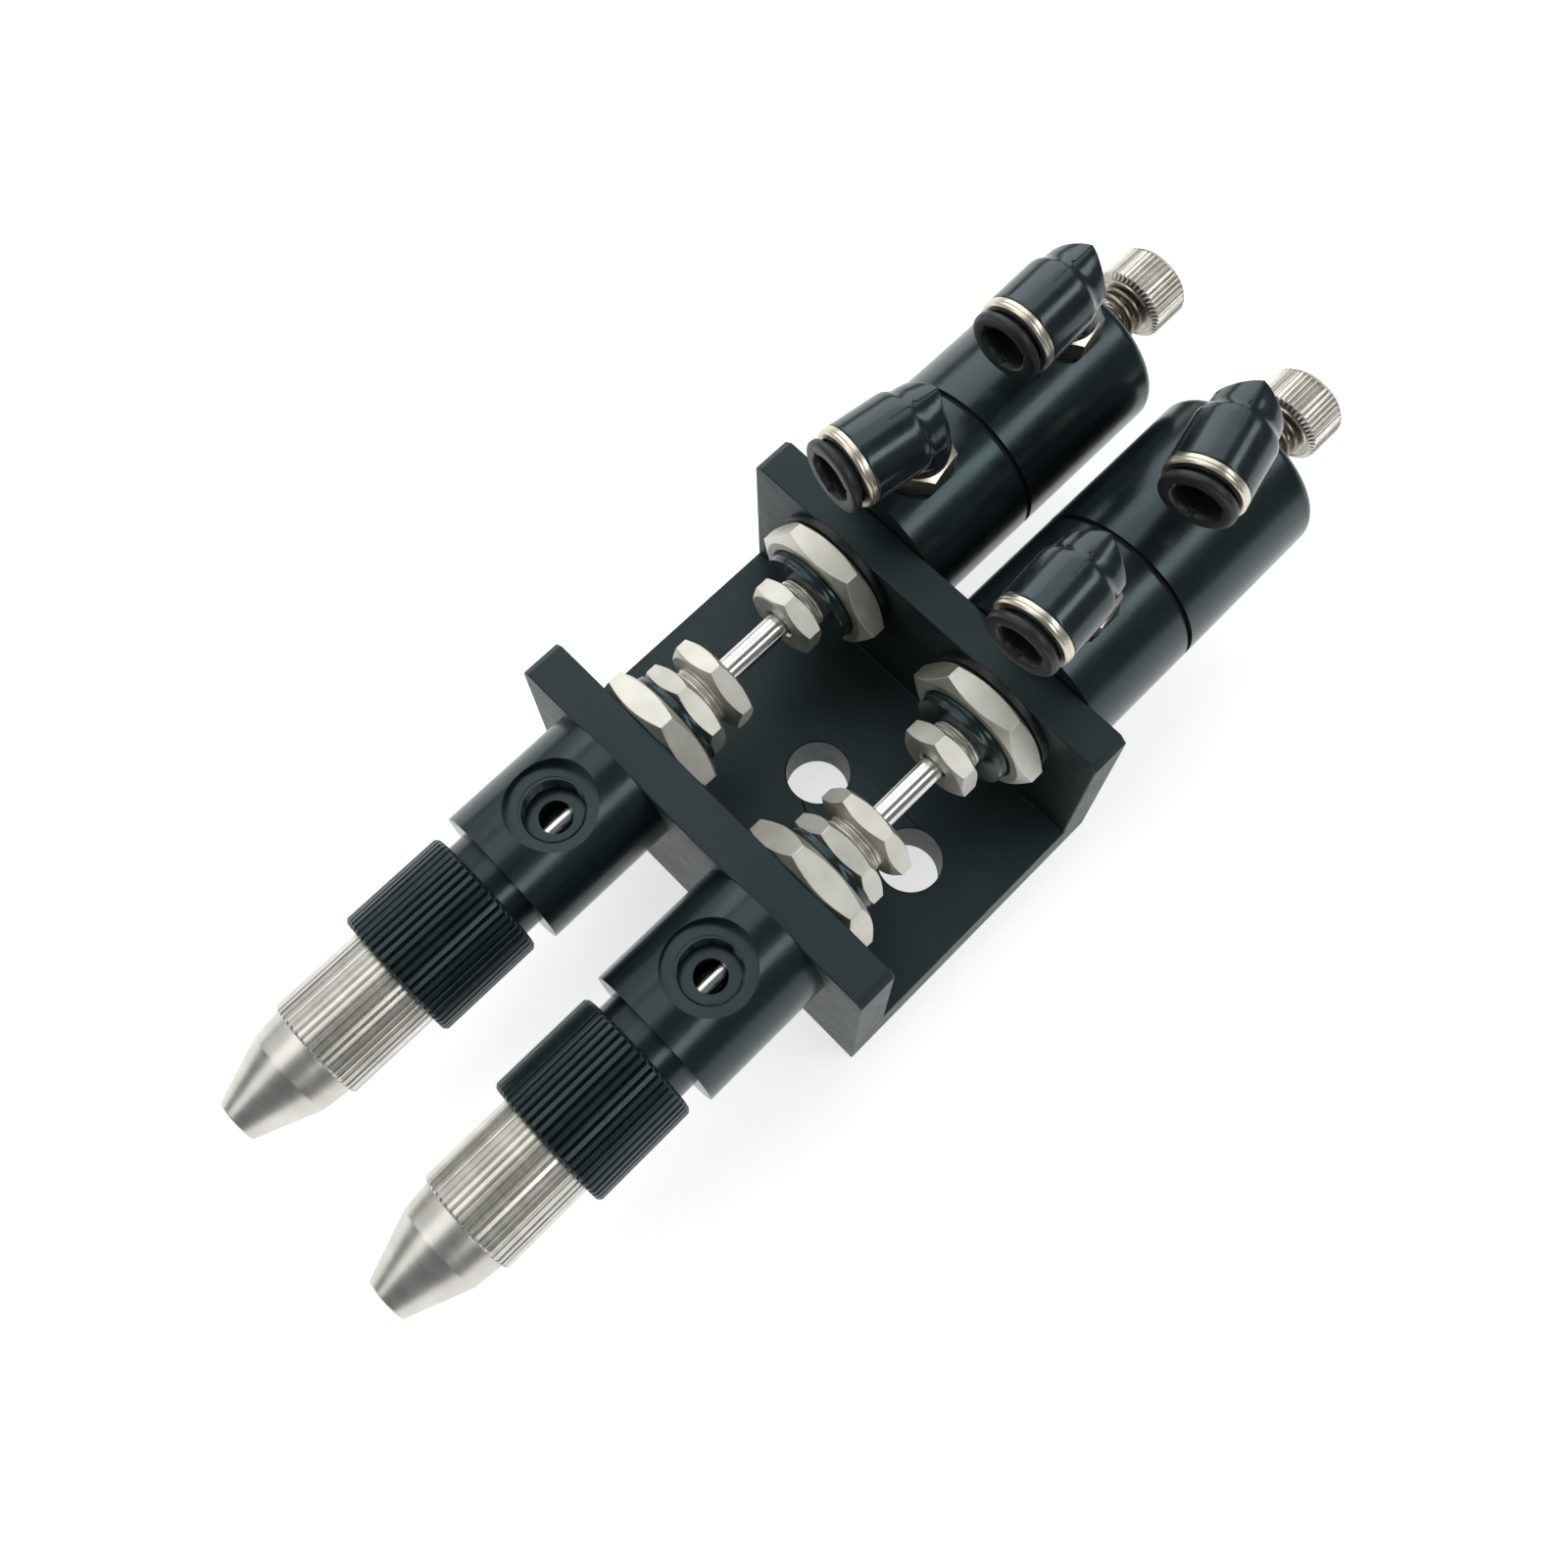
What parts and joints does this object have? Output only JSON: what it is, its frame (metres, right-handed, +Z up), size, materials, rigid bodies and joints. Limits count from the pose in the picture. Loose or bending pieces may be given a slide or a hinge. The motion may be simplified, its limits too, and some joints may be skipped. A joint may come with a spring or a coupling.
{
  "type": "twin pneumatic needle valve",
  "caption": "Paired air-operated needle dispensing valves on a U bracket, with knurled nozzle nuts, hex gland nuts, air cylinders, swivel push-in elbows and spring-held adjusting screws.",
  "frame": {"origin": "where the axis of the centre base hole meets the bracket underside", "axes": "+X across the two heads, +Y along them from nozzles to adjusting screws, +Z up out of the ports and fittings"},
  "size_m": [0.06, 0.1676, 0.0581],
  "materials": {
    "bracket_black": "fine bead-blasted black anodised",
    "body_black": "satin turned, black anodised",
    "collar_black": "straight knurled, black anodised",
    "nickel": "nickel plated, turned, warm grey",
    "stainless": "ground stainless rod",
    "hex_nickel": "bright nickel plated hexagon",
    "brass_nickel": "nickel plated brass",
    "elbow_plastic": "moulded glass-filled nylon, semi gloss black",
    "release_plastic": "matte black",
    "ptfe": "white PTFE",
    "seal_rubber": "black nitrile",
    "spring_steel": "drawn spring wire, slightly tarnished",
    "piston_alu": "turned, natural",
    "washer_black": "black oxide"
  },
  "bodies": {
    "frame": {"bracket": "bracket_black", "left_nozzle_stem": "stainless", "left_valve_body": "body_black", "left_body_nut": "hex_nickel", "left_packing": "ptfe", "left_gland_nut": "hex_nickel", "left_gland_screw": "hex_nickel", "left_rod_bush": "brass_nickel", "left_rod_seal": "seal_rubber", "left_flange_washer": "washer_black", "left_cylinder_nut": "hex_nickel", "left_cylinder_barrel": "body_black", "left_seam_ring": "seal_rubber", "left_cylinder_cap": "body_black", "left_front_stud": "brass_nickel", "left_rear_stud": "brass_nickel", "right_nozzle_stem": "stainless", "right_valve_body": "body_black", "right_body_nut": "hex_nickel", "right_packing": "ptfe", "right_gland_nut": "hex_nickel", "right_gland_screw": "hex_nickel", "right_rod_bush": "brass_nickel", "right_rod_seal": "seal_rubber", "right_flange_washer": "washer_black", "right_cylinder_nut": "hex_nickel", "right_cylinder_barrel": "body_black", "right_seam_ring": "seal_rubber", "right_cylinder_cap": "body_black", "right_front_stud": "brass_nickel", "right_rear_stud": "brass_nickel"},
    "left_needle": {"left_needle": "stainless", "left_piston": "piston_alu", "left_piston_seal": "seal_rubber", "left_piston_nut": "hex_nickel"},
    "left_nozzle_nut": {"left_nozzle_nut": "nickel"},
    "left_collar": {"left_knurled_collar": "collar_black"},
    "left_screw_feed": {"left_adjusting_spring": "spring_steel"},
    "left_screw": {"left_adjusting_screw": "nickel"},
    "left_front_elbow": {"left_front_elbow": "elbow_plastic", "left_front_ring": "brass_nickel"},
    "left_front_release": {"left_front_release": "release_plastic"},
    "left_rear_elbow": {"left_rear_elbow": "elbow_plastic", "left_rear_ring": "brass_nickel"},
    "left_rear_release": {"left_rear_release": "release_plastic"},
    "right_needle": {"right_needle": "stainless", "right_piston": "piston_alu", "right_piston_seal": "seal_rubber", "right_piston_nut": "hex_nickel"},
    "right_nozzle_nut": {"right_nozzle_nut": "nickel"},
    "right_collar": {"right_knurled_collar": "collar_black"},
    "right_screw_feed": {"right_adjusting_spring": "spring_steel"},
    "right_screw": {"right_adjusting_screw": "nickel"},
    "right_front_elbow": {"right_front_elbow": "elbow_plastic", "right_front_ring": "brass_nickel"},
    "right_front_release": {"right_front_release": "release_plastic"},
    "right_rear_elbow": {"right_rear_elbow": "elbow_plastic", "right_rear_ring": "brass_nickel"},
    "right_rear_release": {"right_rear_release": "release_plastic"}
  },
  "joints": [
    {"name": "left_needle_lift", "type": "slide", "parent": "frame", "child": "left_needle", "axis": [0, 1, 0], "range_m": [0, 0.003]},
    {"name": "left_nozzle_nut_turn", "type": "hinge", "parent": "frame", "child": "left_nozzle_nut", "pos_m": [-0.014, -0.0731, 0.0288], "axis": [0, 1, 0], "range_deg": [-360, 0]},
    {"name": "left_collar_turn", "type": "hinge", "parent": "frame", "child": "left_collar", "pos_m": [-0.014, -0.0528, 0.0288], "axis": [0, 1, 0], "range_deg": [-360, 0]},
    {"name": "left_screw_feed", "type": "slide", "parent": "frame", "child": "left_screw_feed", "axis": [0, 1, 0], "range_m": [-0.0024, 0.0008], "deforming": ["left_adjusting_spring"]},
    {"name": "left_screw_turn", "type": "hinge", "parent": "left_screw_feed", "child": "left_screw", "pos_m": [-0.014, 0.0792, 0.0288], "axis": [0, 1, 0], "range_deg": [-1080, 360]},
    {"name": "left_front_elbow_swivel", "type": "hinge", "parent": "frame", "child": "left_front_elbow", "pos_m": [-0.014, 0.0314, 0.0525], "axis": [0, 0, 1], "range_deg": [-120, 120]},
    {"name": "left_front_release_push", "type": "slide", "parent": "left_front_elbow", "child": "left_front_release", "axis": [0.1478, 0.989, 0], "range_m": [0, 0.0008], "stiffness_N_per_m": 1500},
    {"name": "left_rear_elbow_swivel", "type": "hinge", "parent": "frame", "child": "left_rear_elbow", "pos_m": [-0.014, 0.0599, 0.0525], "axis": [0, 0, 1], "continuous": true},
    {"name": "left_rear_release_push", "type": "slide", "parent": "left_rear_elbow", "child": "left_rear_release", "axis": [-0.0262, 0.9997, 0], "range_m": [0, 0.0008], "stiffness_N_per_m": 1500},
    {"name": "right_needle_lift", "type": "slide", "parent": "frame", "child": "right_needle", "axis": [0, 1, 0], "range_m": [0, 0.003]},
    {"name": "right_nozzle_nut_turn", "type": "hinge", "parent": "frame", "child": "right_nozzle_nut", "pos_m": [0.014, -0.0731, 0.0288], "axis": [0, 1, 0], "range_deg": [-360, 0]},
    {"name": "right_collar_turn", "type": "hinge", "parent": "frame", "child": "right_collar", "pos_m": [0.014, -0.0528, 0.0288], "axis": [0, 1, 0], "range_deg": [-360, 0]},
    {"name": "right_screw_feed", "type": "slide", "parent": "frame", "child": "right_screw_feed", "axis": [0, 1, 0], "range_m": [-0.0024, 0.0008], "deforming": ["right_adjusting_spring"]},
    {"name": "right_screw_turn", "type": "hinge", "parent": "right_screw_feed", "child": "right_screw", "pos_m": [0.014, 0.0792, 0.0288], "axis": [0, 1, 0], "range_deg": [-1080, 360]},
    {"name": "right_front_elbow_swivel", "type": "hinge", "parent": "frame", "child": "right_front_elbow", "pos_m": [0.014, 0.0314, 0.0525], "axis": [0, 0, 1], "range_deg": [-120, 120]},
    {"name": "right_front_release_push", "type": "slide", "parent": "right_front_elbow", "child": "right_front_release", "axis": [-0.0698, 0.9976, 0], "range_m": [0, 0.0008], "stiffness_N_per_m": 1500},
    {"name": "right_rear_elbow_swivel", "type": "hinge", "parent": "frame", "child": "right_rear_elbow", "pos_m": [0.014, 0.0599, 0.0525], "axis": [0, 0, 1], "continuous": true},
    {"name": "right_rear_release_push", "type": "slide", "parent": "right_rear_elbow", "child": "right_rear_release", "axis": [-0.2419, 0.9703, 0], "range_m": [0, 0.0008], "stiffness_N_per_m": 1500}
  ],
  "couplings": [
    {"joint": "left_screw_turn", "follows": "left_screw_feed", "rad_per_m": 7854},
    {"joint": "right_screw_turn", "follows": "right_screw_feed", "rad_per_m": 7854}
  ]
}
